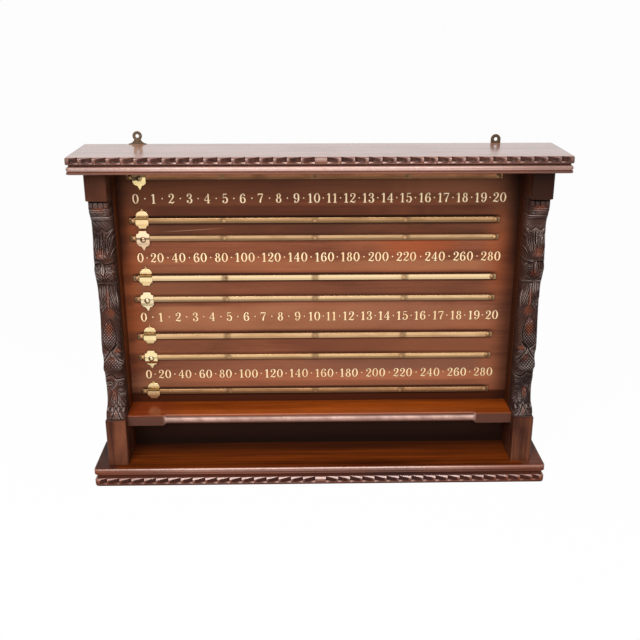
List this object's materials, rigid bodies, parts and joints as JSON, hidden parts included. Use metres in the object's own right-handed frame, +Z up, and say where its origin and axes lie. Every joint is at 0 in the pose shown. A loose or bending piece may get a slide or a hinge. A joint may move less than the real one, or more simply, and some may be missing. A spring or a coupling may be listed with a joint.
{
  "type": "snooker scoreboard",
  "caption": "Wall-hung snooker scoreboard: carved hardwood case with cornice, base and shelf, and brass pointers that slide on rails above rows of numbers",
  "frame": {"origin": "under the middle of the cornice's depth and of the case's width, on the plane that the base stands on", "axes": "+X to the right seen from the front, along the pointers' travel; +Y towards the wall, so the front faces -Y; +Z up"},
  "size_m": [0.933, 0.159, 0.7077],
  "materials": {
    "cornice_wood": "hard glossy polish over dark reddish hardwood",
    "base_wood": "hard glossy polish over dark reddish hardwood",
    "side_wood": "glossy polish",
    "board_wood": "satin polish with darker corners",
    "shelf_wood": "glossy polish",
    "carved_wood": "dark stain in the carving, polished on the high parts",
    "dowel_wood": "bare hardwood",
    "rail_brass": "worn, lightly tarnished brass",
    "pointer_brass": "handled brass, brighter than the rails",
    "screw_brass": "tarnished brass",
    "hanger_brass": "dull aged brass",
    "screw_steel": "plain steel"
  },
  "bodies": {
    "case": {"cornice_board": "cornice_wood", "base_board": "base_wood", "left_side_panel": "side_wood", "right_side_panel": "side_wood", "score_board": "board_wood", "shelf": "shelf_wood", "left_carved_post": "carved_wood", "right_carved_post": "carved_wood", "score_rail_1": "rail_brass", "score_rail_2": "rail_brass", "score_rail_3": "rail_brass", "score_rail_4": "rail_brass", "score_rail_5": "rail_brass", "score_rail_6": "rail_brass", "score_rail_7": "rail_brass", "score_rail_8": "rail_brass", "rail_stop_screws": "screw_brass", "rail_flush_screws": "screw_brass", "left_hanger": "hanger_brass", "right_hanger": "hanger_brass", "hanger_screws": "screw_steel", "cornice_dowels": "dowel_wood", "base_screws": "screw_steel", "board_screws": "screw_steel", "shelf_screws": "screw_steel"},
    "pointer_1": {"pointer_1": "pointer_brass"},
    "pointer_2": {"pointer_2": "pointer_brass"},
    "pointer_3": {"pointer_3": "pointer_brass"},
    "pointer_4": {"pointer_4": "pointer_brass"},
    "pointer_5": {"pointer_5": "pointer_brass"},
    "pointer_6": {"pointer_6": "pointer_brass"},
    "pointer_7": {"pointer_7": "pointer_brass"},
    "pointer_8": {"pointer_8": "pointer_brass"}
  },
  "joints": [
    {"name": "pointer_1_slide", "type": "slide", "parent": "case", "child": "pointer_1", "axis": [1, 0, 0], "range_m": [0, 0.6842]},
    {"name": "pointer_2_slide", "type": "slide", "parent": "case", "child": "pointer_2", "axis": [1, 0, 0], "range_m": [0, 0.6842]},
    {"name": "pointer_3_slide", "type": "slide", "parent": "case", "child": "pointer_3", "axis": [1, 0, 0], "range_m": [0, 0.6842]},
    {"name": "pointer_4_slide", "type": "slide", "parent": "case", "child": "pointer_4", "axis": [1, 0, 0], "range_m": [0, 0.6842]},
    {"name": "pointer_5_slide", "type": "slide", "parent": "case", "child": "pointer_5", "axis": [1, 0, 0], "range_m": [0, 0.6842]},
    {"name": "pointer_6_slide", "type": "slide", "parent": "case", "child": "pointer_6", "axis": [1, 0, 0], "range_m": [0, 0.6842]},
    {"name": "pointer_7_slide", "type": "slide", "parent": "case", "child": "pointer_7", "axis": [1, 0, 0], "range_m": [0, 0.6842]},
    {"name": "pointer_8_slide", "type": "slide", "parent": "case", "child": "pointer_8", "axis": [1, 0, 0], "range_m": [0, 0.6842]}
  ]
}
